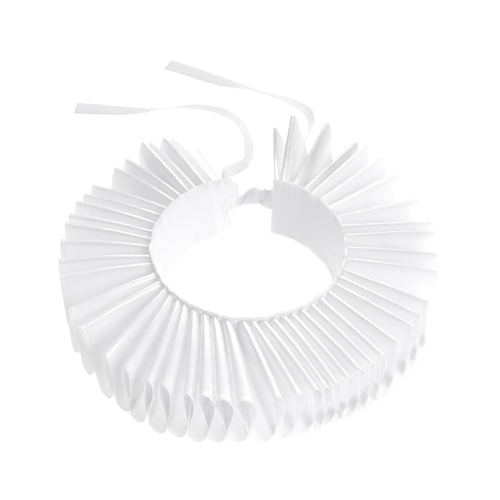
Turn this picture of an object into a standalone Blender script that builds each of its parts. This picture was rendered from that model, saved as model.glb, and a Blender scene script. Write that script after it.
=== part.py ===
"""Ruff collar: a satin strip in 49 organ pleats, sewn round a standing neckband, tied with ribbon."""

import math
from collections import namedtuple

import bpy
from mathutils import Vector

MM = 0.001
COLLECTION = "ruff_collar"

# The neck's axis, measured from the middle of the whole part's footprint.
NECK_X = 5.0 * MM
NECK_Y = -61.0 * MM

# The neckband: a folded strip that stands on its lower edge and flares a little upwards.
BAND_HEIGHT = 47.5 * MM
BAND_TOP_RADIUS = 59.8 * MM
BAND_FOOT_RADIUS = 56.5 * MM
BAND_FOOT_RISE = 4.0 * MM
BAND_WALL = 1.6 * MM
BAND_LEFT_TURN_TOP = 16.0
BAND_LEFT_TURN_FOOT = 10.0
BAND_RIGHT_TURN = 344.5
BAND_COLUMNS = 84

# The ruff: one long strip, its inner edge gathered to the band, its outer edge hemmed.
CLOTH_WALL = 1.0 * MM
SEAM_GAP = 0.6 * MM
ROOT_RADIUS = BAND_TOP_RADIUS + BAND_WALL / 2 + SEAM_GAP
RIM_RADIUS = 116.5 * MM
ROOT_RIDGE_HEIGHT = 45.5 * MM
RIM_RIDGE_HEIGHT = 44.0 * MM
RIDGE_SWELL = 1.0 * MM
LOOP_HEIGHT = 0.6 * MM
LOOP_LIFT = 2.5 * MM
LOOP_LIFT_BEAT = 2.4
RISE_CURVE = 1.5
REACH_CURVE = 2.0
ROOT_HALF_WIDTH = 1.3 * MM
LOOP_HALF_WIDTH = 5.4 * MM
RIDGE_SHARE = 0.36
LOOP_CLEARANCE = 1.9 * MM
SWEEP = 0.85
ROWS = (0.0, 0.28, 0.62, 1.0)
ARC = (-75, -25, 25, 75)
LAST_ROOT_STEP = 3.0

# The strip's two short ends hang from the first and last ridge, only part of the way down.
LEFT_END_ROOT_TURN = 17.2
LEFT_END_RIM_TURN = 17.0
RIGHT_END_ROOT_TURN = 344.0
RIGHT_END_RIM_TURN = 350.5
END_RIM_HEIGHT = 23.0 * MM
END_ROOT_HEIGHT = 43.5 * MM

# Turns are degrees about the neck from the back opening, by the wearer's right side, front and
# left side. Each row is one pleat: where its ridge leaves the band, where the ridge ends at the
# rim, and where the loop after it ends at the rim. In mm: how far the ridge's end is raised, how
# far the loop reaches past the rim, the half width of the ridge's rounded end, and how far the
# pleat bows sideways below its ridge.
PLEATS = (
    # root, rim, loop, rise, reach, round, bow
    (21, 26, 28, -5, 0.0, 1.6, 0.0),
    (27, 29, 33, -1, 0.0, 1.5, 0.5),
    (34, 34, 36, -1, 0.0, 1.4, 0.5),
    (39, 37, 42, 3, 0.0, 1.5, 0.0),
    (45, 44, 48, -4, 0.5, 1.4, 0.0),
    (51, 49, 57, -5, 1.0, 1.4, -0.5),
    (58, 60, 64, -4, 0.5, 1.6, 0.5),
    (65, 65, 69, -3, 0.0, 1.6, 1.0),
    (72, 70, 75, 0, 0.5, 1.8, 0.5),
    (79, 76, 79, 0, 0.0, 1.8, -0.5),
    (85, 80, 86, 0, 0.0, 1.8, 0.5),
    (91, 87, 94, -1, 0.5, 2.4, 1.0),
    (99, 95, 102, -1, 0.0, 2.4, 0.0),
    (105, 102, 114, -1, 0.5, 2.2, 1.0),
    (113, 115, 124, -2, 1.0, 1.7, 0.5),
    (120, 122, 134, -3, 1.5, 1.7, 1.0),
    (126, 135, 142, -3, 2.5, 1.8, 0.5),
    (131, 143, 147, -2, 3.5, 1.8, 0.5),
    (137, 151, 154, -2, 4.0, 1.4, 0.5),
    (142, 156, 160, -1, 3.5, 2.2, 1.0),
    (148, 163, 165, -2, 2.0, 1.9, 1.5),
    (155, 168, 171, 0, 1.0, 3.2, 2.0),
    (161, 173, 176, -1, 0.0, 4.6, 2.0),
    (168, 179, 184, -1, -1.0, 4.6, 2.0),
    (177, 188, 190, 1, -1.0, 1.8, 2.5),
    (182, 194, 195, 0, -1.5, 1.6, 2.5),
    (188, 199, 200, 1, -2.0, 1.3, 3.0),
    (194, 202, 203, 0, -2.5, 1.1, 3.0),
    (200, 205, 206, 1, -2.0, 1.1, 3.0),
    (205, 209, 210, 1, -1.5, 1.1, 3.0),
    (211, 213, 214, 3, -1.5, 1.1, 3.0),
    (218, 217, 218, 3, -0.5, 1.1, 2.5),
    (225, 221, 222, 4, 0.5, 1.1, 2.5),
    (232, 227, 229, 5, 0.5, 1.1, 2.5),
    (239, 235, 236, 4, 1.0, 1.1, 2.0),
    (245, 240, 241, 3, 1.5, 1.1, 2.0),
    (251, 246, 249, 3, 2.0, 1.1, 1.5),
    (259, 260, 262, 0, 2.5, 1.1, 1.0),
    (268, 267, 270, 0, 1.0, 1.1, 1.0),
    (278, 276, 278, 1, 0.5, 1.1, 0.5),
    (286, 280, 283, 1, 0.5, 1.1, 0.5),
    (294, 290, 293, 3, 0.0, 1.1, 1.0),
    (303, 302, 304, 7, 0.0, 1.2, 1.0),
    (311, 310, 312, 8, 0.0, 1.3, 0.5),
    (318, 318, 319, 6, 0.0, 1.5, 0.0),
    (324, 322, 325, 4, 0.0, 1.4, 0.5),
    (331, 333, 335, 10, 0.0, 1.9, 1.0),
    (338, 345, 341, 9, 0.0, 1.9, 0.0),
    (342, 351, 346, -4, 0.0, 1.5, 0.0),
)
Pleat = namedtuple("Pleat", "root rim loop rise reach round bow")
STRIP = [Pleat(*row) for row in PLEATS]

# The ribbon: two ties sewn into the band's ends, knotted in the gap, with free tails behind.
RIBBON_WALL = 1.0 * MM
RIBBON_STEP = 5.0 * MM
KNOT_CENTRE = Vector((1.5, 64.0, 24.5)) * MM
KNOT_SIZE = Vector((13.0, 8.5, 13.5)) * MM
KNOT_WAIST_DEPTH = 0.14
KNOT_WAIST_WIDTH = 0.16
KNOT_SLANT = 0.18
Station = namedtuple("Station", "x y z lean width")

# Routes are in mm from the neck's axis. The lean is the angle of the ribbon's width from flat,
# towards the left of its travel: 90 stands on edge. A tail on the ground has its lift worked out.
BASE_LEFT = (
    # x, y, z, lean, width
    (-16.4, 57.65, 23.5, 88, 12.0),
    (-12.4, 58.6, 23.5, 88, 12.0),
    (-8.6, 60.2, 22.9, 88, 10.5),
    (-5.6, 61.4, 22.6, 90, 8.5),
)
BASE_RIGHT = (
    # x, y, z, lean, width
    (17.8, 57.1, 24.4, 94, 12.0),
    (16.4, 57.6, 24.5, 94, 12.0),
    (14.0, 59.3, 24.8, 108, 12.0),
    (11.6, 61.6, 25.0, 118, 12.0),
    (8.6, 63.5, 25.2, 122, 10.5),
)
TAIL_NEAR = (
    # x, y, z, lean, width
    (-6.4, 67.0, 26.0, 130, 10.5),
    (-10.8, 66.2, 29.2, 136, 12.0),
    (-15.2, 67.0, 33.6, 128, 12.0),
    (-17.6, 71.0, 36.0, 104, 12.0),
    (-15.8, 76.0, 35.0, 94, 12.0),
    (-11.0, 83.0, 30.8, 96, 12.0),
    (-5.7, 94.0, 24.0, 94, 12.0),
    (-2.2, 106.0, 16.6, 86, 12.0),
    (-1.0, 117.0, 10.4, 74, 12.0),
    (-0.2, 128.0, 6.2, 62, 12.0),
    (0.1, 139.0, 0.0, 57, 12.0),
    (-2.5, 150.5, 0.0, 48, 12.0),
    (-7.0, 162.0, 0.0, 36, 12.0),
    (-14.0, 171.0, 0.0, 26, 12.0),
    (-22.5, 177.0, 0.0, 21, 12.0),
    (-31.5, 179.8, 0.0, 22, 12.0),
    (-42.0, 180.0, 0.0, 28, 12.0),
    (-53.0, 178.0, 0.0, 40, 12.0),
    (-65.0, 176.4, 0.0, 42, 12.0),
    (-78.0, 176.0, 0.0, 24, 12.0),
    (-93.0, 177.5, 0.0, 10, 12.0),
    (-111.0, 180.0, 0.0, 3, 12.0),
    (-127.9, 181.8, 0.0, 0, 12.0),
)
TAIL_FAR = (
    # x, y, z, lean, width
    (6.6, 68.0, 21.5, 90, 10.0),
    (13.0, 72.0, 17.0, 90, 11.5),
    (18.0, 80.0, 11.0, 90, 12.0),
    (21.5, 90.0, 7.5, 90, 12.0),
    (25.0, 101.0, 0.0, 90, 12.0),
    (30.0, 116.0, 0.0, 90, 12.0),
    (36.5, 131.0, 0.0, 96, 12.0),
    (42.5, 145.0, 0.0, 108, 12.0),
    (45.4, 156.0, 0.0, 114, 12.0),
    (45.0, 164.5, 0.0, 102, 12.0),
    (42.0, 171.5, 0.0, 86, 12.0),
    (36.5, 178.0, 0.0, 74, 12.0),
    (29.0, 184.0, 0.0, 64, 12.0),
    (20.5, 189.0, 0.0, 54, 12.0),
    (10.0, 194.5, 0.0, 46, 12.0),
    (-4.0, 202.5, 0.0, 28, 12.0),
    (-18.0, 210.0, 0.0, 10, 12.0),
    (-34.0, 219.0, 0.0, 3, 12.0),
    (-62.0, 233.3, 0.0, 0, 12.0),
)

# Colours and finish.
SATIN = (0.90, 0.90, 0.915)
SATIN_ROUGHNESS = 0.42
RIBBON_SATIN = (0.86, 0.87, 0.88)


def clear_scene():
    for item in list(bpy.data.objects):
        bpy.data.objects.remove(item)


def satin(name, colour):
    material = bpy.data.materials.new(name)
    material.use_nodes = True
    shader = material.node_tree.nodes["Principled BSDF"]
    shader.inputs["Base Color"].default_value = (*colour, 1.0)
    shader.inputs["Roughness"].default_value = SATIN_ROUGHNESS
    shader.inputs["Metallic"].default_value = 0.0
    return material


def place(radius, turn, height):
    """A point at a turn in degrees from the back opening, about the neck's axis."""
    angle = math.radians(turn)
    return Vector((NECK_X - radius * math.sin(angle), NECK_Y + radius * math.cos(angle), height))


def blend(first, second, share):
    return first + (second - first) * share


def cloth(name, rows, wall, material, collection):
    """Skin rows of points with triangles and give the open surface its thickness."""
    width = len(rows[0])
    points = [point for row in rows for point in row]
    faces = []
    for row in range(len(rows) - 1):
        for column in range(width - 1):
            corner = row * width + column
            faces.append((corner, corner + 1, corner + width + 1))
            faces.append((corner, corner + width + 1, corner + width))
    mesh = bpy.data.meshes.new(name)
    mesh.from_pydata(points, [], faces)
    mesh.materials.append(material)
    mesh.shade_smooth()
    mesh.set_sharp_from_angle(angle=math.radians(50))
    piece = bpy.data.objects.new(name, mesh)
    collection.objects.link(piece)
    thickness = piece.modifiers.new("wall", "SOLIDIFY")
    thickness.thickness = wall
    thickness.offset = 0.0
    thickness.use_even_offset = True
    return piece


def band_radius(height):
    """The radius of the band's middle surface at a height."""
    slope = (BAND_TOP_RADIUS - BAND_FOOT_RADIUS) / (BAND_HEIGHT - BAND_FOOT_RISE)
    return BAND_FOOT_RADIUS + slope * max(0.0, height - BAND_FOOT_RISE)


def band_rows():
    """The band's middle surface, from the lower edge up, its left end cut on a slant."""
    heights = (0.0, BAND_FOOT_RISE, 0.3 * BAND_HEIGHT, 0.65 * BAND_HEIGHT, BAND_HEIGHT)
    rows = []
    for height in heights:
        radius = band_radius(height)
        left = blend(BAND_LEFT_TURN_FOOT, BAND_LEFT_TURN_TOP, height / BAND_HEIGHT)
        step = (BAND_RIGHT_TURN - left) / BAND_COLUMNS
        rows.append([place(radius, left + step * n, height) for n in range(BAND_COLUMNS + 1)])
    return rows


def sweep(radius):
    """How much of its turn from root to rim a ridge has made at a radius: a nearly straight line."""
    straight = (1 / ROOT_RADIUS - 1 / radius) / (1 / ROOT_RADIUS - 1 / RIM_RADIUS)
    return max(0.0, straight) ** SWEEP


def ruff_point(share, turn, height, reach=0.0):
    """A point of the ruff: its inner edge follows the band's flare, and its rim stands straight."""
    root = band_radius(height) + BAND_WALL / 2 + SEAM_GAP
    return place(blend(root, RIM_RADIUS, share) + reach, turn, height)


def ridge_half_width(number, gaps, share):
    """Half the width of a ridge's rounded top: narrow at the band, and never wider than its room."""
    rounded = blend(ROOT_HALF_WIDTH, STRIP[number].round * MM, share)
    return min(rounded, RIDGE_SHARE * min(gaps[max(0, number - 1):number + 1]))


def pleat_bow(number, share):
    """How far the two panels under a ridge bow sideways, more towards the rim."""
    return STRIP[number].bow * MM * share


def ruff_row(share):
    """One line along the strip, at a share of the way from the band to the rim."""
    radius = blend(ROOT_RADIUS, RIM_RADIUS, share)
    turned = sweep(radius)
    degree = radius * math.radians(1)
    ridges = []
    loops = []
    next_roots = [pleat.root for pleat in STRIP[1:]] + [STRIP[-1].root + LAST_ROOT_STEP]
    drop = blend(ROOT_RIDGE_HEIGHT, RIM_RIDGE_HEIGHT, share)
    swell = RIDGE_SWELL * math.sin(math.pi * share)
    for number, pleat in enumerate(STRIP):
        rise = pleat.rise * MM * share ** RISE_CURVE
        ridges.append((blend(pleat.root, pleat.rim, turned), drop + swell + rise))
        lift = LOOP_LIFT * (0.5 + 0.5 * math.sin(LOOP_LIFT_BEAT * number)) * share
        loop_root = (pleat.root + next_roots[number]) / 2
        loops.append((blend(loop_root, pleat.loop, turned), LOOP_HEIGHT + lift))
    widest = blend(ROOT_HALF_WIDTH, LOOP_HALF_WIDTH, share)
    gaps = [(ridges[n + 1][0] - ridges[n][0]) * degree for n in range(len(ridges) - 1)]
    loop_gaps = [(loops[n + 1][0] - loops[n][0]) * degree for n in range(len(loops) - 1)]
    left = blend(LEFT_END_ROOT_TURN, LEFT_END_RIM_TURN, turned)
    right = blend(RIGHT_END_ROOT_TURN, RIGHT_END_RIM_TURN, turned)
    end_height = blend(END_ROOT_HEIGHT, END_RIM_HEIGHT, share)
    points = [ruff_point(share, left, end_height)]
    for number, (turn, height) in enumerate(ridges):
        half = ridge_half_width(number, gaps, share)
        for angle in ARC:
            across = half * math.sin(math.radians(angle)) / degree
            down = half * (1 - math.cos(math.radians(angle)))
            points.append(ruff_point(share, turn + across, height - down))
        if number == len(ridges) - 1:
            break
        foot_turn, foot_height = loops[number]
        near = loop_gaps[max(0, number - 1):number + 1]
        half_loop = min(widest, (min(near) - LOOP_CLEARANCE) / 2)
        reach = STRIP[number].reach * MM * share ** REACH_CURVE
        side = math.sin(math.radians(ARC[-1]))
        bow = pleat_bow(number, share) / degree
        middle = (turn + foot_turn + side * (half - half_loop) / degree) / 2 + bow
        points.append(ruff_point(share, middle, (height + foot_height) / 2, reach / 2))
        for angle in ARC:
            across = half_loop * math.sin(math.radians(angle)) / degree
            up = half_loop * (math.cos(math.radians(ARC[1])) - math.cos(math.radians(angle)))
            points.append(ruff_point(share, foot_turn + across, foot_height + up, reach))
        next_turn, next_height = ridges[number + 1]
        next_half = ridge_half_width(number + 1, gaps, share)
        bow = pleat_bow(number + 1, share) / degree
        middle = (next_turn + foot_turn - side * (next_half - half_loop) / degree) / 2 + bow
        points.append(ruff_point(share, middle, (next_height + foot_height) / 2, reach / 2))
    points.append(ruff_point(share, right, end_height))
    return points


def smooth(first, second, third, fourth, share):
    """A point between the second and third values of a smooth curve through all four."""
    square = share * share
    cube = square * share
    return 0.5 * (2 * second + (third - first) * share
                  + (2 * first - 5 * second + 4 * third - fourth) * square
                  + (3 * second - first - 3 * third + fourth) * cube)


def route_stations(route):
    """Points with lean and width along a smooth line through a route's rows, evenly spaced."""
    marks = [Station(*row) for row in route]
    spots = [Vector((mark.x, mark.y, mark.z)) * MM for mark in marks]
    stations = []
    for number in range(len(marks) - 1):
        here, there = marks[number], marks[number + 1]
        before = spots[max(0, number - 1)]
        after = spots[min(len(spots) - 1, number + 2)]
        steps = max(1, round((spots[number + 1] - spots[number]).length / RIBBON_STEP))
        for step in range(steps):
            share = step / steps
            point = smooth(before, spots[number], spots[number + 1], after, share)
            lean = blend(here.lean, there.lean, share)
            stations.append((point, lean, blend(here.width, there.width, share) * MM))
    stations.append((spots[-1], marks[-1].lean, marks[-1].width * MM))
    return stations


def ribbon_rows(route):
    """The two edges of a ribbon. No edge goes below the ground that the tail lies on."""
    stations = route_stations(route)
    left_edge = []
    right_edge = []
    for number, (point, lean, width) in enumerate(stations):
        ahead = stations[min(number + 1, len(stations) - 1)][0]
        behind = stations[max(number - 1, 0)][0]
        travel = (ahead - behind).normalized()
        level = Vector((-travel.y, travel.x, 0.0)).normalized()
        angle = math.radians(lean)
        across = (level * math.cos(angle) + Vector((0, 0, 1)) * math.sin(angle)) * (width / 2)
        lowest = abs(across.z) + RIBBON_WALL / 2
        point = Vector((point.x + NECK_X, point.y + NECK_Y, max(point.z, lowest)))
        left_edge.append(point + across)
        right_edge.append(point - across)
    return [left_edge, right_edge]


def knot(name, material, collection):
    """The knot: a lump of wrapped ribbon with a waist across its front."""
    bpy.ops.mesh.primitive_uv_sphere_add(segments=20, ring_count=12, radius=0.5)
    piece = bpy.context.object
    piece.name = name
    mesh = piece.data
    mesh.name = name
    for vertex in mesh.vertices:
        spot = vertex.co.copy()
        waist = 1.0 - KNOT_WAIST_DEPTH * math.exp(-(spot.x / KNOT_WAIST_WIDTH) ** 2)
        slant = KNOT_SLANT * spot.x
        vertex.co.x = spot.x * KNOT_SIZE.x
        vertex.co.y = spot.y * KNOT_SIZE.y * waist
        vertex.co.z = (spot.z * waist + slant) * KNOT_SIZE.z
    mesh.materials.append(material)
    mesh.shade_smooth()
    piece.location = KNOT_CENTRE + Vector((NECK_X, NECK_Y, 0.0))
    for owner in list(piece.users_collection):
        owner.objects.unlink(piece)
    collection.objects.link(piece)
    return piece


clear_scene()
parts = bpy.data.collections.new(COLLECTION)
bpy.context.scene.collection.children.link(parts)
band_satin = satin("band_satin", SATIN)
ruff_satin = satin("ruff_satin", SATIN)
tie_satin = satin("tie_satin", RIBBON_SATIN)
cloth("neckband", band_rows(), BAND_WALL, band_satin, parts)
cloth("ruff", [ruff_row(share) for share in ROWS], CLOTH_WALL, ruff_satin, parts)
cloth("tie_base_left", ribbon_rows(BASE_LEFT), RIBBON_WALL, tie_satin, parts)
cloth("tie_base_right", ribbon_rows(BASE_RIGHT), RIBBON_WALL, tie_satin, parts)
cloth("tie_tail_near", ribbon_rows(TAIL_NEAR), RIBBON_WALL, tie_satin, parts)
cloth("tie_tail_far", ribbon_rows(TAIL_FAR), RIBBON_WALL, tie_satin, parts)
knot("tie_knot", tie_satin, parts)
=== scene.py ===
"""Ruff collar in white satin: a pleated strip round a standing neckband, tied behind with ribbon."""

import math
from collections import namedtuple

import bpy
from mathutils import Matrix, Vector, noise


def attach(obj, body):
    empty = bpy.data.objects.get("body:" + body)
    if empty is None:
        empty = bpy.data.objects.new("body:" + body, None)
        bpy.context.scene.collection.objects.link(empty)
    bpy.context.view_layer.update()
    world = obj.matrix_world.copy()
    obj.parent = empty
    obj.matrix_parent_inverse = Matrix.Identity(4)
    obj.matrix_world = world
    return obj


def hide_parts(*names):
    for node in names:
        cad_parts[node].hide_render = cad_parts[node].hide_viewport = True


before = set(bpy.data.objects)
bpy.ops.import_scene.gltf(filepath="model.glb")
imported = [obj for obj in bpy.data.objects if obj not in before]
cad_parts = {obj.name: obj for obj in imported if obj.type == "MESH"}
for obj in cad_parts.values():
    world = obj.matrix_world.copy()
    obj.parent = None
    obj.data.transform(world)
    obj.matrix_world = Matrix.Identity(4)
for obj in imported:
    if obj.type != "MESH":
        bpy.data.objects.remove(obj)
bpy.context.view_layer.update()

# The collar stands on white paper under soft studio light: a large softbox in front on its right, a
# narrow one high behind it that draws the bright lines along the pleats, and a third behind on the
# right. The room's white sides throw light back into every fold.
MM = 0.001
NECK = Vector((5.0, -61.0, 0.0)) * MM
PAPER_HALF = 12.0
PAPER_GLOW = 0.92
SURROUND = 0.02
LIGHT_BOUNCES = 12
SOFT_CONTRAST = 1.87
# In mm from the neck's middle.
CAMERA_PLACE = (1.068, -532.289, 608.619)
CAMERA_SIGHT = (1.068, 14.875, 25.0)
CAMERA_LENS = 90.66
CAMERA_FILM = 36.0


def softbox(name, place, width, depth, watts):
    data = bpy.data.lights.new(name, "AREA")
    data.shape = "RECTANGLE"
    data.size = width
    data.size_y = depth
    data.energy = watts
    lamp = bpy.data.objects.new(name, data)
    bpy.context.scene.collection.objects.link(lamp)
    lamp.location = place
    lamp.rotation_euler = (-Vector(place)).to_track_quat("-Z", "Y").to_euler()


softbox("softbox_right", (0.98, -0.88, 0.85), 0.8, 0.8, 15.5)
softbox("softbox_behind", (0.0, 1.15, 1.22), 0.7, 0.25, 16.0)
softbox("softbox_behind_right", (1.0, 1.1, 0.8), 0.7, 0.5, 5.3)


def fill(name, place, strength):
    """Light thrown back from every side of the white room, so that no fold goes dark."""
    data = bpy.data.lights.new(name, "SUN")
    data.energy = strength
    data.angle = math.radians(60)
    data.use_shadow = False
    data.specular_factor = 0.0
    lamp = bpy.data.objects.new(name, data)
    bpy.context.scene.collection.objects.link(lamp)
    lamp.location = place
    lamp.rotation_euler = (-Vector(place)).to_track_quat("-Z", "Y").to_euler()


fill("fill_behind", (0.0, 1.0, 0.6), 0.26)
fill("fill_left", (-1.0, -0.2, 0.5), 0.38)
fill("fill_right", (1.0, -0.2, 0.5), 0.38)
fill("fill_front", (0.0, -1.0, 0.8), 0.08)
fill("fill_above", (0.0, -0.1, 1.0), 0.32)

surround = bpy.data.worlds.new("surround")
surround.use_nodes = True
surround.node_tree.nodes["Background"].inputs["Color"].default_value = (1.0, 1.0, 1.0, 1.0)
surround.node_tree.nodes["Background"].inputs["Strength"].default_value = SURROUND
bpy.context.scene.world = surround
bpy.context.scene.view_settings.view_transform = "Standard"
bpy.context.scene.view_settings.gamma = SOFT_CONTRAST
bpy.context.scene.cycles.diffuse_bounces = LIGHT_BOUNCES

paper_mesh = bpy.data.meshes.new("paper")
corners = [(-1, -1), (1, -1), (1, 1), (-1, 1)]
paper_mesh.from_pydata([(x * PAPER_HALF, y * PAPER_HALF, 0.0) for x, y in corners], [], [(0, 1, 2, 3)])
paper = bpy.data.objects.new("paper", paper_mesh)
bpy.context.scene.collection.objects.link(paper)
paper_white = bpy.data.materials.new("paper_white")
paper_white.use_nodes = True
paper_shader = paper_white.node_tree.nodes["Principled BSDF"]
paper_shader.inputs["Base Color"].default_value = (0.15, 0.15, 0.15, 1.0)
paper_shader.inputs["Roughness"].default_value = 0.9
paper_shader.inputs["Emission Color"].default_value = (1.0, 1.0, 1.0, 1.0)
paper_shader.inputs["Emission Strength"].default_value = PAPER_GLOW
paper_mesh.materials.append(paper_white)

camera_data = bpy.data.cameras.new("camera")
camera_data.lens = CAMERA_LENS
camera_data.sensor_width = CAMERA_FILM
camera = bpy.data.objects.new("camera", camera_data)
bpy.context.scene.collection.objects.link(camera)
camera.location = NECK + Vector(CAMERA_PLACE) * MM
sight = NECK + Vector(CAMERA_SIGHT) * MM - camera.location
camera.rotation_euler = sight.to_track_quat("-Z", "Y").to_euler()
bpy.context.scene.camera = camera

# The neckband is one strip of satin folded double, seams inside, so its top and bottom edges are
# soft folds. It is topstitched near both edges and twice along its slanted left end, and the thread
# pulls small puckers into the cloth.
BAND_HEIGHT = 47.5
BAND_TOP_RADIUS = 59.8
BAND_FOOT_RADIUS = 56.5
BAND_FOOT_RISE = 4.0
BAND_WALL = 1.6
BAND_LEFT_TOP = 16.0
BAND_LEFT_FOOT = 10.0
BAND_RIGHT = 344.5
BAND_LENGTH = 340.0
BAND_COLUMNS = 400
BAND_INNER = (0.5, 1.2, 1.9, 2.3, 2.7, 3.2, 4.2, 5.6, 7.6, 10, 13, 17, 21, 25, 29, 33, 36.5, 39.5,
              41.5, 43, 44, 44.6, 45, 45.4, 45.9, 46.6)
BAND_OUTER = (46.4, 45.6, 45.0, 44.4, 43, 40, 35, 28, 20, 12, 6, 3.2, 2.5, 1.9, 1.0)
BAND_FOLD = (30, 60, 90, 120, 150)
BAND_FOLD_RADIUS = 0.8
BAND_STITCH_IN = 2.5
BAND_STITCH_DEPTH = 0.22
BAND_END_STITCHES = (1.8, 4.4)
BAND_PUCKER = 1.5
BAND_FINE_PUCKER = 0.9
BAND_SLACK = 0.8
BAND_TOP_SLIM = 0.45
BAND_TOP_LIFT = 0.45
BAND_CORNER_RISE = 15.0
BAND_CORNER_RUN = 15.0
BAND_CORNER_ROLL = 5.0
# Painted shade: the band is painted darker along its top fold edge, and over its right part from
# BAND_SHADY_TURN on, where it stands in shade.
BAND_EDGE_SHADE = 0.16
BAND_RIGHT_SHADE = 0.2
BAND_SHADY_TURN = 285


def blend(first, second, share):
    return first + (second - first) * share


def hump(distance, width):
    return math.exp(-(distance / width) ** 2)


def step_up(distance, width):
    return 0.5 + 0.5 * math.tanh(distance / width)


def place(radius, turn, height):
    """A point in metres from a radius and height in mm and a turn from the back, by the right side."""
    angle = math.radians(turn)
    return NECK + Vector((-radius * math.sin(angle), radius * math.cos(angle), height)) * MM


def band_radius(height):
    slope = (BAND_TOP_RADIUS - BAND_FOOT_RADIUS) / (BAND_HEIGHT - BAND_FOOT_RISE)
    return BAND_FOOT_RADIUS + slope * max(0.0, height - BAND_FOOT_RISE)


def band_left(height):
    return blend(BAND_LEFT_FOOT, BAND_LEFT_TOP, height / BAND_HEIGHT)


def band_relief(turn, height, side):
    """How far in mm the cloth stands off the band's plain form, outwards."""
    from_left = turn - band_left(height)
    lines = [hump(height - BAND_STITCH_IN, 0.55), hump(BAND_HEIGHT - BAND_STITCH_IN - height, 0.55)]
    lines += [hump(from_left - line, 0.6) for line in BAND_END_STITCHES]
    trough = -BAND_STITCH_DEPTH * max(lines) * side
    top = hump((BAND_HEIGHT - BAND_STITCH_IN - height) / 6.5, 1.0)
    foot = hump((height - BAND_STITCH_IN) / 5.0, 1.0)
    ripple = noise.noise(Vector((turn * 0.30, height * 0.03, 3.0 + side)))
    finer = noise.noise(Vector((turn * 0.75, height * 0.10, 9.0 + side)))
    pucker = (BAND_PUCKER * ripple + BAND_FINE_PUCKER * finer) * (0.75 * top + 0.55 * foot)
    slack = BAND_SLACK * noise.noise(Vector((turn * 0.07 + height * 0.03, height * 0.08, 5.0)))
    corner = max(0.0, 1.0 - height / BAND_CORNER_RISE - max(0.0, from_left) / BAND_CORNER_RUN)
    return trough + pucker + slack + BAND_CORNER_ROLL * corner ** 1.5


def band_point(turn, height, side):
    """A point of the band's face: side is -1 on the neck's side, 1 outside, and between in a fold."""
    slim = 1.0 - BAND_TOP_SLIM * hump(BAND_HEIGHT - height, 2.5)
    lift = BAND_TOP_LIFT * noise.noise(Vector((turn * 0.33, 0.0, 31.0))) * (height / BAND_HEIGHT) ** 6
    radius = band_radius(height) + side * slim * BAND_WALL / 2 + band_relief(turn, height, side)
    return place(radius, turn, height + lift)


def finish_mesh(name, points, faces, material, uvs=None, shades=None):
    """A smooth-shaded mesh piece. Its shades are painted shade: they darken hems, edges and cloth that lies
    in shadow.
    """
    mesh = bpy.data.meshes.new(name)
    mesh.from_pydata(points, [], faces)
    if uvs:
        layer = mesh.uv_layers.new(name="cloth")
        for loop in mesh.loops:
            layer.data[loop.index].uv = uvs[loop.vertex_index]
    shade = mesh.attributes.new("shade", "FLOAT", "POINT")
    shade.data.foreach_set("value", shades or [1.0] * len(points))
    mesh.materials.append(material)
    mesh.shade_smooth()
    piece = bpy.data.objects.new(name, mesh)
    bpy.context.scene.collection.objects.link(piece)
    return piece


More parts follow.
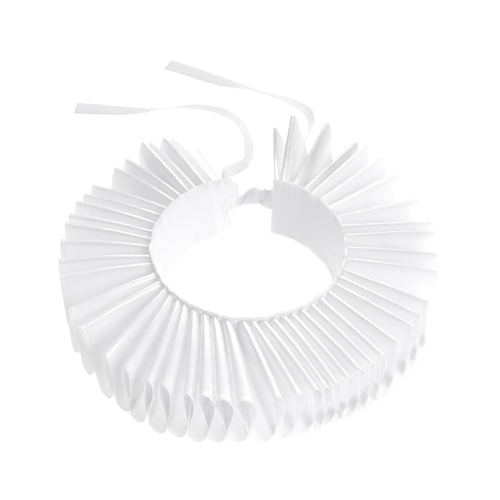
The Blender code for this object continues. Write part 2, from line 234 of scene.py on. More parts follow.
def satin(name, colour, roughness, crinkle, crinkle_size, polish):
    """White satin: a soft sheen that wavers a little, a fine crosswise weave and small crinkles, darkened by
    the painted shade that each piece carries.
    """
    material = bpy.data.materials.new(name)
    material.use_nodes = True
    nodes = material.node_tree.nodes
    link = material.node_tree.links.new
    shader = nodes["Principled BSDF"]
    shader.inputs["Sheen Weight"].default_value = 0.15
    shader.inputs["Sheen Roughness"].default_value = 0.4
    shader.inputs["Specular IOR Level"].default_value = 0.3 + 0.6 * polish
    shader.inputs["Coat Weight"].default_value = polish
    shader.inputs["Coat Roughness"].default_value = 0.2
    shader.inputs["Subsurface Weight"].default_value = 0.7
    shader.inputs["Subsurface Radius"].default_value = (1.0, 1.0, 1.0)
    shader.inputs["Subsurface Scale"].default_value = 0.005
    spot = nodes.new("ShaderNodeTexCoord")
    cloud = nodes.new("ShaderNodeTexNoise")
    cloud.inputs["Scale"].default_value = 45.0
    cloud.inputs["Detail"].default_value = 3.0
    link(spot.outputs["Object"], cloud.inputs["Vector"])
    tint = nodes.new("ShaderNodeMapRange")
    tint.data_type = "FLOAT_VECTOR"
    tint.inputs[7].default_value = (0.2, 0.2, 0.2)
    tint.inputs[8].default_value = (0.8, 0.8, 0.8)
    tint.inputs[9].default_value = [part * 0.99 for part in colour]
    tint.inputs[10].default_value = [min(1.0, part * 1.005) for part in colour]
    link(cloud.outputs["Fac"], tint.inputs[6])
    # Painted shade: the pieces' shade attribute darkens the base colour.
    painted_shade = nodes.new("ShaderNodeAttribute")
    painted_shade.attribute_name = "shade"
    shaded = nodes.new("ShaderNodeVectorMath")
    shaded.operation = "MULTIPLY"
    link(tint.outputs[1], shaded.inputs[0])
    link(painted_shade.outputs["Fac"], shaded.inputs[1])
    link(shaded.outputs["Vector"], shader.inputs["Base Color"])
    gloss = nodes.new("ShaderNodeMapRange")
    gloss.inputs["To Min"].default_value = roughness - 0.02
    gloss.inputs["To Max"].default_value = roughness + 0.02
    link(cloud.outputs["Fac"], gloss.inputs["Value"])
    link(gloss.outputs["Result"], shader.inputs["Roughness"])
    stretch = nodes.new("ShaderNodeMapping")
    stretch.inputs["Scale"].default_value = (2600.0, 420.0, 1.0)
    link(spot.outputs["UV"], stretch.inputs["Vector"])
    threads = nodes.new("ShaderNodeTexNoise")
    threads.inputs["Scale"].default_value = 1.0
    threads.inputs["Detail"].default_value = 1.0
    link(stretch.outputs["Vector"], threads.inputs["Vector"])
    weave = nodes.new("ShaderNodeBump")
    weave.inputs["Strength"].default_value = 0.25
    weave.inputs["Distance"].default_value = 0.00006
    link(threads.outputs["Fac"], weave.inputs["Height"])
    dents = nodes.new("ShaderNodeTexNoise")
    dents.inputs["Scale"].default_value = crinkle_size
    dents.inputs["Detail"].default_value = 2.5
    dents.inputs["Distortion"].default_value = 0.6
    link(spot.outputs["Object"], dents.inputs["Vector"])
    crinkles = nodes.new("ShaderNodeBump")
    crinkles.inputs["Strength"].default_value = 1.0
    crinkles.inputs["Distance"].default_value = crinkle
    link(dents.outputs["Fac"], crinkles.inputs["Height"])
    link(weave.outputs["Normal"], crinkles.inputs["Normal"])
    link(crinkles.outputs["Normal"], shader.inputs["Normal"])
    return material


def thread_line(points, length, gap, radius):
    """Loose parts of one line of stitches laid along a line of points: their points and faces."""
    verts = []
    faces = []
    travelled = [0.0]
    for before, after in zip(points, points[1:]):
        travelled.append(travelled[-1] + (after - before).length)

    def at(distance):
        number = max(n for n in range(len(points) - 1) if travelled[n] <= distance)
        share = (distance - travelled[number]) / (travelled[number + 1] - travelled[number])
        return points[number].lerp(points[number + 1], share)

    start = gap
    while start + length < travelled[-1]:
        line = [at(start), at(start + length / 2), at(start + length)]
        along = (line[2] - line[0]).normalized()
        side = along.orthogonal()
        up = along.cross(side)
        first = len(verts)
        for middle, size in zip((line[0], line[0].lerp(line[1], 0.3), line[1].lerp(line[2], 0.7), line[2]),
                                (0.35, 1.0, 1.0, 0.35)):
            for corner in range(6):
                angle = math.radians(60 * corner)
                verts.append(middle + (side * math.cos(angle) + up * math.sin(angle)) * radius * size)
        for ring in range(3):
            for corner in range(6):
                a = first + ring * 6 + corner
                b = first + ring * 6 + (corner + 1) % 6
                faces.append((a, b, b + 6, a + 6))
        faces.append(tuple(first + corner for corner in range(5, -1, -1)))
        faces.append(tuple(first + 18 + corner for corner in range(6)))
        start += length + gap
    return verts, faces


def stitching(name, lines, material, length=2.1, gap=0.9, radius=0.2):
    """All of a piece's stitch lines as one mesh."""
    points = []
    faces = []
    for line in lines:
        more, joined = thread_line(line, length * MM, gap * MM, radius * MM)
        faces += [tuple(len(points) + corner for corner in face) for face in joined]
        points += more
    piece = finish_mesh(name, points, faces, material)
    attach(piece, "root")
    return piece


band_satin = satin("band_satin_cloth", (0.76, 0.755, 0.79), 0.28, 0.0009, 110.0, 0.9)
band_points = []
band_faces = []
band_uvs = []
band_shades = []
band_shares = [0.0, 0.0006, 0.0018, 0.0036]
band_shares += [0.006 + 0.988 * n / BAND_COLUMNS for n in range(BAND_COLUMNS + 1)]
band_shares += [0.9964, 0.9982, 0.9994, 1.0]
for number, share in enumerate(band_shares):
    from_end = min(share, 1.0 - share) * BAND_LENGTH
    thick = math.sqrt(max(0.02, 1.0 - max(0.0, 1.0 - from_end / BAND_FOLD_RADIUS) ** 2))
    folds = [(BAND_FOLD_RADIUS * (1.0 - math.sin(math.radians(angle))), math.cos(math.radians(angle)))
             for angle in BAND_FOLD]
    section = [(height, -1.0) for height in BAND_INNER]
    section += [(BAND_HEIGHT - inset, -side) for inset, side in folds]
    section += [(height, 1.0) for height in BAND_OUTER]
    section += folds
    for height, side in section:
        turn = blend(band_left(height), BAND_RIGHT, share)
        point = band_point(turn, height, side * thick)
        point.z = max(point.z, 0.05 * MM)
        band_points.append(point)
        band_uvs.append((turn * 0.001, height * MM + (0.1 if side > 0 else 0.0)))
        # Painted shade on the band's right part and along its top fold.
        in_shadow = BAND_RIGHT_SHADE * step_up(turn - BAND_SHADY_TURN, 25)
        band_shades.append(1.0 - max(in_shadow, BAND_EDGE_SHADE * hump(BAND_HEIGHT - height, 1.1)))
    around = len(section)
    if number:
        for corner in range(around):
            a = (number - 1) * around + corner
            b = (number - 1) * around + (corner + 1) % around
            band_faces.append((a, b, b + around, a + around))
band_faces.append(tuple(range(around - 1, -1, -1)))
band_faces.append(tuple(range(len(band_points) - around, len(band_points))))
band = finish_mesh("band_cloth", band_points, band_faces, band_satin, band_uvs, band_shades)
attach(band, "root")
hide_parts("neckband")

thread = bpy.data.materials.new("white_thread")
thread.use_nodes = True
thread_shader = thread.node_tree.nodes["Principled BSDF"]
thread_shader.inputs["Roughness"].default_value = 0.55
thread_twist = thread.node_tree.nodes.new("ShaderNodeTexNoise")
thread_twist.inputs["Scale"].default_value = 900.0
thread_shade = thread.node_tree.nodes.new("ShaderNodeValToRGB")
thread_shade.color_ramp.elements[0].color = (0.62, 0.62, 0.66, 1.0)
thread_shade.color_ramp.elements[1].color = (0.88, 0.88, 0.90, 1.0)
thread.node_tree.links.new(thread_twist.outputs["Fac"], thread_shade.inputs["Fac"])
thread.node_tree.links.new(thread_shade.outputs["Color"], thread_shader.inputs["Base Color"])

band_lines = []
for side in (-1, 1):
    for height in (BAND_STITCH_IN, BAND_HEIGHT - BAND_STITCH_IN):
        turns = [blend(band_left(height) + 1.5, BAND_RIGHT - 1.0, n / 320) for n in range(321)]
        band_lines.append([band_point(turn, height, side) for turn in turns])
    for inset in BAND_END_STITCHES:
        heights = [blend(1.2, BAND_HEIGHT - 1.2, n / 40) for n in range(41)]
        band_lines.append([band_point(band_left(height) + inset, height, side) for height in heights])
band_stitches = stitching("band_topstitch", band_lines, thread)

# The ruff is one long strip of satin, hemmed along its outer edge, set in 49 organ pleats that are
# caught to the band along the inner edge. Each pleat runs up over a ridge, down a panel and round
# a loop at the foot. No two are alike: they lean, crowd and gape as they were pulled.
ROOT_GAP = 0.6
RIM_RADIUS = 116.5
ROOT_RIDGE_HEIGHT = 45.5
RIM_RIDGE_HEIGHT = 44.0
RIDGE_SWELL = 1.0
LOOP_HEIGHT = 0.6
LOOP_LIFT = 2.5
LOOP_LIFT_BEAT = 2.4
RISE_CURVE = 1.5
REACH_CURVE = 2.0
ROOT_HALF_WIDTH = 1.3
LOOP_HALF_WIDTH = 5.4
CROWDED_HALF_WIDTH = 7.8
CROWDED_FROM = 162
FULLER_IN_FRONT = 1.3
FRONT_TURN = 160
FRONT_SPAN = 60
RIDGE_SHARE = 0.43
LOOP_CLEARANCE = 0.9
SWEEP = 0.85
FOLD_SPAN = 75.0
PANEL_ROLL = 2.4
END_ROOT_STEP = 3.0
LEFT_END = (17.2, 17.0)
RIGHT_END = (344.0, 350.5)
END_HEIGHTS = (43.5, 23.0)
HEM = 3.0
HEM_DEPTH = 0.12
STRIP_WIDTH = 55.5
CLOTH = 0.36
PANEL_PULL = 0.85
PANEL_SWAY = 1.5
PANEL_DENT = 0.7
PANEL_OWN = 0.35
GATHER = 0.2
# Painted shade: how much darker the cloth is painted at its hem and cut edge, on the crests, on the
# upright leaves at the right of the opening, whose flanks are painted darker than a light painted sheen
# down their middles, low down in front, and at the left of the opening. The ranges count rows of the
# table of pleats, and the shady places are a turn and how far it reaches, in degrees.
HEM_SHADE = 0.06
CUT_SHADE = 0.15
CREST_SHADE = 0.06
SHADED_CRESTS = range(37, 46)
LEAF_SHADE = 0.5
LEAVES = range(45, 49)
FRONT_SHADE = 0.32
SHADY_FRONT = (148, 38)
BACK_SHADE = 0.2
SHADY_BACK = (36, 22)
# Turns in degrees from the back opening, by the wearer's right side: where a ridge leaves the band,
# where it ends at the rim, and where the loop after it ends. In mm: the ridge end's rise, the
# loop's reach past the rim, the ridge end's half width and the pleat's bow below its ridge.
Pleat = namedtuple("Pleat", "root rim loop rise reach round bow")
PLEATS = [Pleat(*row) for row in (
    # root, rim, loop, rise, reach, round, bow
    (21, 26, 28, -5, 0.0, 1.6, 0.0),
    (27, 29, 33, -1, 0.0, 1.5, 0.5),
    (34, 34, 36, -1, 0.0, 1.4, 0.5),
    (39, 37, 42, 3, 0.0, 1.5, 0.0),
    (45, 44, 48, -4, 0.5, 1.4, 0.0),
    (51, 49, 57, -5, 1.0, 1.4, -0.5),
    (58, 60, 64, -4, 0.5, 1.6, 0.5),
    (65, 65, 69, -3, 0.0, 1.6, 1.0),
    (72, 70, 75, 0, 0.5, 1.8, 0.5),
    (79, 76, 79, 0, 0.0, 1.8, -0.5),
    (85, 80, 86, 0, 0.0, 1.8, 0.5),
    (91, 87, 94, -1, 0.5, 2.4, 1.0),
    (99, 95, 102, -1, 0.0, 2.4, 0.0),
    (105, 102, 114, -1, 0.5, 2.2, 1.0),
    (113, 115, 124, -2, 1.0, 1.7, 0.5),
    (120, 122, 134, -3, 1.5, 1.7, 1.0),
    (126, 135, 142, -3, 2.5, 1.8, 0.5),
    (131, 143, 147, -2, 3.5, 1.8, 0.5),
    (137, 151, 154, -2, 4.0, 1.4, 0.5),
    (142, 156, 160, -1, 3.5, 2.2, 1.0),
    (148, 163, 165, -2, 2.0, 1.9, 1.5),
    (155, 168, 171, 0, 1.0, 3.2, 2.0),
    (161, 173, 176, -1, 0.0, 4.6, 2.0),
    (168, 179, 184, -1, -1.0, 4.6, 2.0),
    (177, 188, 190, 1, -1.0, 1.8, 2.5),
    (182, 194, 195, 0, -1.5, 1.6, 2.5),
    (188, 199, 200, 1, -2.0, 1.3, 3.0),
    (194, 202, 203, 0, -2.5, 1.1, 3.0),
    (200, 205, 206, 1, -2.0, 1.1, 3.0),
    (205, 209, 210, 1, -1.5, 1.1, 3.0),
    (211, 213, 214, 3, -1.5, 1.1, 3.0),
    (218, 217, 218, 3, -0.5, 1.1, 2.5),
    (225, 221, 222, 4, 0.5, 1.1, 2.5),
    (232, 227, 229, 5, 0.5, 1.1, 2.5),
    (239, 235, 236, 4, 1.0, 1.1, 2.0),
    (245, 240, 241, 3, 1.5, 1.1, 2.0),
    (251, 246, 249, 3, 2.0, 1.1, 1.5),
    (259, 260, 262, 0, 2.5, 1.1, 1.0),
    (268, 267, 270, 0, 1.0, 1.1, 1.0),
    (278, 276, 278, 1, 0.5, 1.1, 0.5),
    (286, 280, 283, 1, 0.5, 1.1, 0.5),
    (294, 290, 293, 3, 0.0, 1.1, 1.0),
    (303, 302, 304, 7, 0.0, 1.2, 1.0),
    (311, 310, 312, 8, 0.0, 1.3, 0.5),
    (318, 318, 319, 6, 0.0, 1.5, 0.0),
    (324, 322, 325, 4, 0.0, 1.4, 0.5),
    (331, 333, 335, 10, 0.0, 1.9, 1.0),
    (338, 345, 341, 9, 0.0, 1.9, 0.0),
    (342, 351, 346, -4, 0.0, 1.5, 0.0),
)]
FOLD_POINTS = 8
PANEL_POINTS = 8
OUT_STEPS = (0.0, 0.6, 1.4, 2.6, 4.4, 7.0, 10, 13.5, 17, 20.5, 24, 27.5, 31, 34.5, 38, 41, 44, 46.5,
             49, 50.8, 51.8, 52.2, 52.5, 52.8, 53.2, 54.0, 54.9, 55.5)


def sweep(radius):
    """How much of its turn from root to rim a ridge has made at a radius: a nearly straight line."""
    root = BAND_TOP_RADIUS + BAND_WALL / 2 + ROOT_GAP
    straight = (1 / root - 1 / radius) / (1 / root - 1 / RIM_RADIUS)
    return max(0.0, straight) ** SWEEP


def ruff_line(share):
    """One line along the strip: turn, height, reach, pleat number, panel side and place on it."""
    radius = blend(BAND_TOP_RADIUS + BAND_WALL / 2 + ROOT_GAP, RIM_RADIUS, share)
    turned = sweep(radius)
    degree = radius * math.radians(1)
    roots = [pleat.root for pleat in PLEATS] + [PLEATS[-1].root + END_ROOT_STEP]
    height = blend(ROOT_RIDGE_HEIGHT, RIM_RIDGE_HEIGHT, share) + RIDGE_SWELL * math.sin(math.pi * share)
    ridges = []
    loops = []
    for number, pleat in enumerate(PLEATS):
        rise = pleat.rise * share ** RISE_CURVE
        ridges.append((blend(pleat.root, pleat.rim, turned) * degree, height + rise))
        lift = LOOP_LIFT * (0.5 + 0.5 * math.sin(LOOP_LIFT_BEAT * number)) * share
        root = (pleat.root + roots[number + 1]) / 2
        loops.append((blend(root, pleat.loop, turned) * degree, LOOP_HEIGHT + lift))
    gaps = [after[0] - before[0] for before, after in zip(ridges, ridges[1:])]
    loop_gaps = [after[0] - before[0] for before, after in zip(loops, loops[1:])]
    halves = []
    for number, pleat in enumerate(PLEATS):
        room = min(gaps[max(0, number - 1):number + 1])
        fuller = FULLER_IN_FRONT * hump(pleat.root - FRONT_TURN, FRONT_SPAN) * (1.0 - 0.55 * share)
        halves.append(min(blend(ROOT_HALF_WIDTH, pleat.round, share) + fuller, RIDGE_SHARE * room))
    end_height = blend(*END_HEIGHTS, share)
    lean = math.cos(math.radians(FOLD_SPAN))
    fall = math.sin(math.radians(FOLD_SPAN))
    line = []

    def panel(start, finish, number, side):
        """One panel between two folds, bowed and rolled: side 1 goes down from its ridge, 2 goes up."""
        down = -1.0 if side == 1 else 1.0
        pull = PANEL_PULL * abs(start[1] - finish[1])
        turn = start[0] / degree
        facing = math.sin(math.radians(turn)) * (1 if side == 1 else -1)
        roll = PANEL_ROLL * (0.3 + 0.9 * share - 0.9 * share ** 6) * (0.3 + 0.7 * max(0.0, facing))
        roll *= 1 if side == 1 else -1
        bow = PLEATS[number + side - 1].bow * share
        for step in range(1, PANEL_POINTS + 1):
            s = step / (PANEL_POINTS + 1)
            spots = []
            for axis, tangent in ((0, lean * pull), (1, down * fall * pull)):
                spots.append((2 * s ** 3 - 3 * s ** 2 + 1) * start[axis]
                             + (s ** 3 - 2 * s ** 2 + s) * tangent
                             + (3 * s ** 2 - 2 * s ** 3) * finish[axis] + (s ** 3 - s ** 2) * tangent)
            below = s if side == 1 else 1 - s
            spots[0] += bow * 4 * s * (1 - s) + roll * 6.75 * below * (1 - below) ** 2
            line.append((*spots, PLEATS[number].reach * below, number, side, below))

    left = (blend(*LEFT_END, turned) * degree, end_height)
    first = (ridges[0][0] - halves[0] * fall, ridges[0][1] - halves[0] * (1 - lean))
    for step in range(3):
        line.append((blend(left[0], first[0], step / 3), blend(left[1], first[1], step / 3), 0, 0, 0, 0))
    for number, (ridge, ridge_height) in enumerate(ridges):
        half = halves[number]
        for step in range(FOLD_POINTS + 1):
            angle = math.radians(blend(-FOLD_SPAN, FOLD_SPAN, step / FOLD_POINTS))
            line.append((ridge + half * math.sin(angle), ridge_height - half * (1 - math.cos(angle)),
                         0.0, number, 0, 0.0))
        if number == len(ridges) - 1:
            break
        loop, loop_height = loops[number]
        pleat = PLEATS[number]
        widest = CROWDED_HALF_WIDTH if pleat.loop > CROWDED_FROM else LOOP_HALF_WIDTH
        widest = blend(ROOT_HALF_WIDTH, widest, min(1.0, 1.6 * share))
        wides = [min(widest, (loop_gaps[near] - LOOP_CLEARANCE) / 2) for near in (max(0, number - 1), number)]
        deep = sum(wides) / 2
        top = deep * (0.96 - lean)
        panel((ridge + half * fall, ridge_height - half * (1 - lean)),
              (loop - wides[0] * fall, loop_height + top), number, 1)
        for step in range(FOLD_POINTS + 1):
            angle = math.radians(blend(-FOLD_SPAN, FOLD_SPAN, step / FOLD_POINTS))
            wide = wides[0] if angle < 0 else wides[1]
            line.append((loop + wide * math.sin(angle), loop_height + deep * (0.96 - math.cos(angle)),
                         pleat.reach, number, 0, 1.0))
        ahead, ahead_height = ridges[number + 1]
        ahead_half = halves[number + 1]
        panel((loop + wides[1] * fall, loop_height + top),
              (ahead - ahead_half * fall, ahead_height - ahead_half * (1 - lean)), number, 2)
    right = (blend(*RIGHT_END, turned) * degree, end_height)
    last = line[-1]
    for step in range(1, 4):
        line.append((blend(last[0], right[0], step / 3), blend(last[1], right[1], step / 3),
                     0, len(PLEATS) - 1, 0, 0))
    return line, degree


def panel_relief(number, side, s, share, out):
    """How far in mm a panel's cloth stands off its plain form. A ridge's two panels sway together."""
    seed = (number + max(side - 1, 0)) * 3.7
    body = math.sin(math.pi * min(1.0, max(0.0, s))) if side else 0.0
    sway = PANEL_SWAY * noise.noise(Vector((share * 1.6, s * 1.9, seed)))
    sway += PANEL_DENT * noise.noise(Vector((share * 5.0 + s * 2.0, s * 4.5, seed + 20))) * share
    own = PANEL_OWN * noise.noise(Vector((share * 4.0, s * 3.0, seed + 31 * side)))
    gather = GATHER * noise.noise(Vector((share * 9.0, s * 7.0, seed + 40))) * hump(share, 0.25)
    hem = -HEM_DEPTH * hump(out - (STRIP_WIDTH - HEM), 0.35)
    return (sway * (1 if side == 1 else -1) + own) * body + gather + hem


def ruff_shade(number, s, share, out):
    """How much of its full colour the ruff's cloth keeps at a point under painted shade, with 1 for its full
    colour.
    """
    rim = PLEATS[number].rim
    crest = CREST_SHADE * share if number in SHADED_CRESTS and s < 0.08 else 0.0
    hem = HEM_SHADE * step_up(out - (STRIP_WIDTH - HEM), 0.3) + CUT_SHADE * hump(STRIP_WIDTH - out, 0.5)
    leaf = LEAF_SHADE * (1.0 - 0.9 * hump(s - 0.4, 0.17)) if number in LEAVES else 0.0
    low = FRONT_SHADE * step_up(out - 47, 4) * step_up(s - 0.3, 0.1)
    low *= hump(rim - SHADY_FRONT[0], SHADY_FRONT[1])
    back = BACK_SHADE * hump(rim - SHADY_BACK[0], SHADY_BACK[1]) * step_up(s - 0.1, 0.05)
    return 1.0 - max(crest, hem, leaf * min(1.0, 2 * share), low, back)


ruff_satin = satin("ruff_satin_cloth", (0.970, 0.967, 0.988), 0.26, 0.0003, 60.0, 1.0)
ruff_points = []
ruff_uvs = []
ruff_shades = []
ruff_faces = []
for row, out in enumerate(OUT_STEPS):
    share = out / STRIP_WIDTH
    line, degree = ruff_line(share)
    span = len(line)
    for column, (across, height, reach, number, side, s) in enumerate(line):
        before = line[max(0, column - 1)]
        after = line[min(span - 1, column + 1)]
        slope = Vector((after[0] - before[0], after[1] - before[1])).normalized()
        off = panel_relief(number, side, s, share, out)
        across -= slope.y * off
        height = max(0.3, height + slope.x * off)
        root = band_radius(height) + BAND_WALL / 2 + ROOT_GAP
        radius = blend(root, RIM_RADIUS, share) + reach * share ** REACH_CURVE
        ruff_points.append(place(radius, across / degree, height))
        ruff_uvs.append((column * 1.6 * MM, out * MM))
        ruff_shades.append(ruff_shade(number, s, share, out))
    if row:
        for column in range(span - 1):
            a = (row - 1) * span + column
            ruff_faces.append((a, a + 1, a + 1 + span, a + span))
ruff = finish_mesh("ruff_cloth", ruff_points, ruff_faces, ruff_satin, ruff_uvs, ruff_shades)


def thicken(piece, thickness):
    """Give a sheet its thickness on both sides of its surface and keep the result as its mesh."""
    wall = piece.modifiers.new("wall", "SOLIDIFY")
    wall.thickness = thickness
    wall.offset = 0.0
    settled = piece.evaluated_get(bpy.context.evaluated_depsgraph_get())
    piece.data = bpy.data.meshes.new_from_object(settled)
    piece.modifiers.clear()


thicken(ruff, CLOTH * MM)
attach(ruff, "root")
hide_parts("ruff")

# The ties are two lengths of satin ribbon 12 mm wide, each sewn into one end of the band, crossed
# and knotted in the gap. Their free ends stand on edge through their bends, then roll over and lie
# flat, and are cut off square.
RIBBON = 0.45
RIBBON_STEP = 1.6
RIBBON_CUP = 0.5
RIBBON_WAVE = 0.35
SELVEDGE = 0.12
# Painted shade: how much darker the ribbon is painted where it lies flat, and the lean from which it is
# painted at its lightest.
FLAT_SHADE = 0.45
LIGHT_LEAN = 60
# In mm from the neck's middle. The lean is the angle of the ribbon's width from flat, towards the
# left of its travel: 90 stands on edge.
BASE_LEFT = (
    # x, y, z, lean, width
    (-16.4, 57.65, 23.5, 88, 12.0),
    (-12.4, 58.6, 23.5, 88, 12.0),
    (-8.6, 60.2, 22.9, 88, 10.5),
    (-5.6, 61.4, 22.6, 90, 8.5),
)
BASE_RIGHT = (
    # x, y, z, lean, width
    (17.9, 58.5, 24.4, 94, 12.0),
    (16.4, 58.4, 24.5, 94, 12.0),
    (14.0, 59.3, 24.8, 108, 12.0),
    (11.6, 61.6, 25.0, 118, 12.0),
    (8.6, 63.5, 25.2, 122, 10.5),
)
TAIL_NEAR = (
    # x, y, z, lean, width
    (-6.4, 67.0, 26.0, 130, 10.5),
    (-10.8, 66.2, 29.2, 136, 12.0),
    (-15.2, 67.0, 33.6, 128, 12.0),
    (-17.6, 71.0, 36.0, 104, 12.0),
    (-15.8, 76.0, 35.0, 94, 12.0),
    (-11.0, 83.0, 30.8, 96, 12.0),
    (-5.7, 94.0, 24.0, 94, 12.0),
    (-2.2, 106.0, 16.6, 86, 12.0),
    (-1.0, 117.0, 10.4, 74, 12.0),
    (-0.2, 128.0, 6.2, 62, 12.0),
    (0.1, 139.0, 0.0, 57, 12.0),
    (-2.5, 150.5, 0.0, 48, 12.0),
    (-7.0, 162.0, 0.0, 36, 12.0),
    (-14.0, 171.0, 0.0, 26, 12.0),
    (-22.5, 177.0, 0.0, 21, 12.0),
    (-31.5, 179.8, 0.0, 22, 12.0),
    (-42.0, 180.0, 0.0, 28, 12.0),
    (-53.0, 178.0, 0.0, 40, 12.0),
    (-65.0, 176.4, 0.0, 42, 12.0),
    (-78.0, 176.0, 0.0, 24, 12.0),
    (-93.0, 177.5, 0.0, 10, 12.0),
    (-111.0, 180.0, 0.0, 3, 12.0),
    (-127.9, 181.8, 0.0, 0, 12.0),
)
TAIL_FAR = (
    # x, y, z, lean, width
    (6.6, 68.0, 21.5, 90, 10.0),
    (13.0, 72.0, 17.0, 90, 11.5),
    (18.0, 80.0, 11.0, 90, 12.0),
    (21.5, 90.0, 7.5, 90, 12.0),
    (25.0, 101.0, 0.0, 90, 12.0),
    (30.0, 116.0, 0.0, 90, 12.0),
    (36.5, 131.0, 0.0, 96, 12.0),
    (42.5, 145.0, 0.0, 108, 12.0),
    (45.4, 156.0, 0.0, 114, 12.0),
    (45.0, 164.5, 0.0, 102, 12.0),
    (42.0, 171.5, 0.0, 86, 12.0),
    (36.5, 178.0, 0.0, 74, 12.0),
    (29.0, 184.0, 0.0, 64, 12.0),
    (20.5, 189.0, 0.0, 54, 12.0),
    (10.0, 194.5, 0.0, 46, 12.0),
    (-4.0, 202.5, 0.0, 28, 12.0),
    (-18.0, 210.0, 0.0, 10, 12.0),
    (-34.0, 219.0, 0.0, 3, 12.0),
    (-62.0, 233.3, 0.0, 0, 12.0),
)
RIBBON_ACROSS = (-1.0, -0.95, -0.88, -0.7, -0.4, 0.0, 0.4, 0.7, 0.88, 0.95, 1.0)


def smooth(first, second, third, fourth, share):
    """A point between the second and third values of a smooth curve through all four."""
    square = share * share
    cube = square * share
    return 0.5 * (2 * second + (third - first) * share
                  + (2 * first - 5 * second + 4 * third - fourth) * square
                  + (3 * second - first - 3 * third + fourth) * cube)


def ribbon_route(route):
    """Points with lean and width along a smooth line through a route's rows."""
    spots = [Vector(row[:3]) for row in route]
    stations = []
    for number in range(len(route) - 1):
        before = spots[max(0, number - 1)]
        after = spots[min(len(spots) - 1, number + 2)]
        steps = max(1, round((spots[number + 1] - spots[number]).length / RIBBON_STEP))
        for step in range(steps + (number == len(route) - 2)):
            share = step / steps
            stations.append((smooth(before, spots[number], spots[number + 1], after, share),
                             blend(route[number][3], route[number + 1][3], share),
                             blend(route[number][4], route[number + 1][4], share)))
    return stations


def ribbon(name, route, node):
    """A ribbon along a route, cupped a little across, with thicker woven edges."""
    stations = ribbon_route(route)
    points = []
    uvs = []
    shades = []
    faces = []
    across_count = len(RIBBON_ACROSS)
    for number, (point, lean, width) in enumerate(stations):
        ahead = stations[min(number + 1, len(stations) - 1)][0]
        behind = stations[max(number - 1, 0)][0]
        travel = (ahead - behind).normalized()
        level = Vector((-travel.y, travel.x, 0.0)).normalized()
        angle = math.radians(lean)
        across = level * math.cos(angle) + Vector((0, 0, 1)) * math.sin(angle)
        face = travel.cross(across).normalized()
        lowest = abs(across.z) * width / 2 + 0.35
        middle = Vector((point.x, point.y, max(point.z, lowest)))
        for share in RIBBON_ACROSS:
            wave = RIBBON_WAVE * noise.noise(Vector((number * 0.09, share, 2.0)))
            wave += RIBBON_CUP * (share * share - 0.4)
            edge = SELVEDGE * hump(abs(share) - 0.95, 0.05)
            spot = middle + across * (share * width / 2) + face * (wave * 0.6 + edge)
            spot.z = max(spot.z, 0.3)
            points.append(NECK + spot * MM)
            uvs.append((share * width / 2 * MM, number * RIBBON_STEP * MM))
            # Painted shade: the flatter the ribbon lies, the darker it is painted.
            shades.append(1.0 - FLAT_SHADE * max(0.0, 1.0 - lean / LIGHT_LEAN))
        if number:
            for corner in range(across_count - 1):
                a = (number - 1) * across_count + corner
                faces.append((a, a + 1, a + 1 + across_count, a + across_count))
    piece = finish_mesh(name, points, faces, ribbon_satin, uvs, shades)
    thicken(piece, RIBBON * MM)
    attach(piece, "root")
    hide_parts(node)


ribbon_satin = satin("ribbon_satin_cloth", (0.60, 0.60, 0.63), 0.5, 0.0001, 80.0, 0.1)
ribbon("tie_left_cloth", BASE_LEFT, "tie_base_left")
ribbon("tie_right_cloth", BASE_RIGHT, "tie_base_right")
ribbon("tail_near_cloth", TAIL_NEAR, "tie_tail_near")
ribbon("tail_far_cloth", TAIL_FAR, "tie_tail_far")

# The knot is the two ribbons tied once and pulled small. One end wraps slantwise over the other, and
# the satin on both sides of the wrap is gathered into folds that run into the ties.
KNOT = (
    # x, y, z, half depth, half height
    (-8.2, 60.6, 22.6, 0.5, 2.9),
    (-6.0, 61.6, 22.6, 1.0, 3.3),
    (-3.4, 62.8, 23.1, 2.2, 4.3),
    (0.2, 64.0, 24.2, 3.0, 5.5),
    (4.3, 64.2, 24.9, 3.3, 6.5),
    (6.4, 63.9, 24.8, 2.6, 6.5),
    (8.6, 63.2, 24.6, 1.7, 5.9),
    (10.8, 62.2, 24.6, 0.8, 5.7),
)
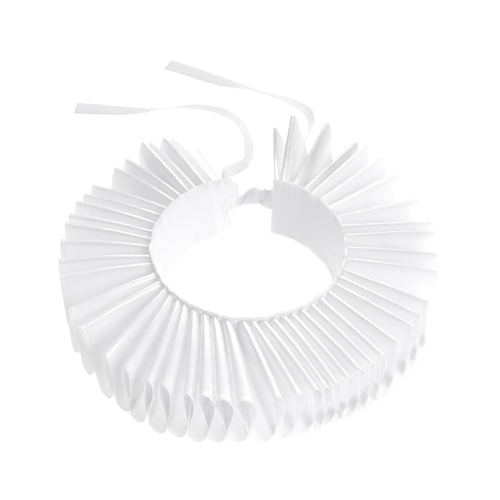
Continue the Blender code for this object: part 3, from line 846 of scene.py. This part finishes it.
# The wrap lies between two slanting edges: each an x at half height and its slope up the knot.
KNOT_WRAP = 0.75
KNOT_WRAP_FROM = (-3.8, 4.0)
KNOT_WRAP_TO = (5.6, 0.5)
KNOT_EDGE = 0.3
KNOT_CRUSH = 0.35
KNOT_TUCK = 0.5
KNOT_FOLDS = (
    # height at the middle, slope, width, depth, all as shares of the half height but the last in mm
    (-0.42, 0.05, 0.17, 0.40),
    (0.12, 0.09, 0.15, 0.35),
    (0.62, 0.03, 0.13, 0.30),
)
KNOT_ROUND = 72
KNOT_RINGS = 64


def knot_relief(x, level):
    """How far in mm the knot's cloth stands off its plain loft, at a share of its half height."""
    start, finish = [edge + slant * level for edge, slant in (KNOT_WRAP_FROM, KNOT_WRAP_TO)]
    inside = step_up(x - start, KNOT_EDGE) * step_up(finish - x, KNOT_EDGE)
    folds = sum(depth * hump(level - height - slope * x, width) for height, slope, width, depth in KNOT_FOLDS)
    tuck = KNOT_TUCK * hump(x - 9.3, 1.2) * hump(level + 0.1, 0.25)
    crush = KNOT_CRUSH * noise.noise(Vector((x * 0.45, level * 2.2, 7.0)))
    return KNOT_WRAP * inside + folds + tuck + crush


knot_points = []
knot_faces = []
knot_uvs = []
for ring in range(KNOT_RINGS + 1):
    along = ring / KNOT_RINGS * (len(KNOT) - 1)
    number = min(int(along), len(KNOT) - 2)
    near = [KNOT[min(max(number + step, 0), len(KNOT) - 1)] for step in (-1, 0, 1, 2)]
    x, y, z, depth, tall = [smooth(*values, along - number) for values in zip(*near)]
    for corner in range(KNOT_ROUND):
        angle = 2 * math.pi * corner / KNOT_ROUND
        level = math.sin(angle)
        fade = min(1.0, ring / 8, (KNOT_RINGS - ring) / 8)
        off = knot_relief(x, level) * fade
        spot = Vector((x, y - (depth + off) * math.cos(angle), z + (tall + off * 0.5) * level))
        knot_points.append(NECK + spot * MM)
        knot_uvs.append((angle * 3 * MM, x * MM))
    if ring:
        for corner in range(KNOT_ROUND):
            a = (ring - 1) * KNOT_ROUND + corner
            b = (ring - 1) * KNOT_ROUND + (corner + 1) % KNOT_ROUND
            knot_faces.append((a, a + KNOT_ROUND, b + KNOT_ROUND, b))
knot_faces.append(tuple(range(KNOT_ROUND)))
knot_faces.append(tuple(range(len(knot_points) - 1, len(knot_points) - KNOT_ROUND - 1, -1)))
knot = finish_mesh("knot_cloth", knot_points, knot_faces, ribbon_satin, knot_uvs)
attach(knot, "root")
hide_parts("tie_knot")
